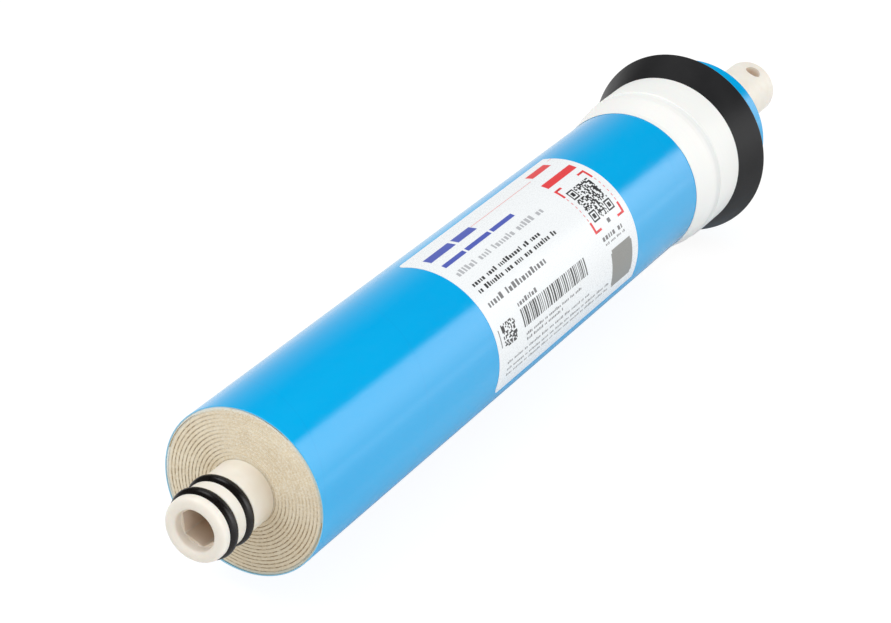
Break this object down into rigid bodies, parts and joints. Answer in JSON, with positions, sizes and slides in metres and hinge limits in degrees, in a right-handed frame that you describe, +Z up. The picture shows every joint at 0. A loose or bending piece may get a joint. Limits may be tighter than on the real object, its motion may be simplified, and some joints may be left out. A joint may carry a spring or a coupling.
{
  "type": "reverse osmosis membrane element",
  "caption": "Spiral-wound membrane roll on a permeate tube, with an O-ring spigot at one end and a pull stub and flared brine seal at the other.",
  "frame": {"origin": "centre of the roll's end face beside the O-rings, on the tube's axis", "axes": "+X along the tube, from the O-ring spigot to the pull stub; +Z up; the roll is round about X, so Z is set by the label, whose middle faces 46 degrees above -Y"},
  "size_m": [0.3148, 0.0568, 0.0568],
  "materials": {
    "tube_plastic": "smooth moulded, cream white",
    "o_ring_rubber": "smooth, lightly greased",
    "carrier_knit": "fine knit, cut end",
    "membrane_sheet": "cut sheet edges, cream",
    "seam_glue": "set glue, amber",
    "blue_wrap": "smooth film, light blue",
    "label_paper": "coated white paper",
    "seal_rubber": "moulded, satin",
    "white_tape": "satin white film"
  },
  "bodies": {
    "root": {"permeate_tube": "tube_plastic", "o_ring_1": "o_ring_rubber", "o_ring_2": "o_ring_rubber", "permeate_carrier": "carrier_knit", "membrane_leaf_1": "membrane_sheet", "membrane_leaf_2": "membrane_sheet", "leaf_seam_1": "seam_glue", "leaf_seam_2": "seam_glue", "outer_wrap": "blue_wrap", "product_label": "label_paper", "brine_seal": "seal_rubber", "seal_tape": "white_tape"}
  },
  "joints": []
}
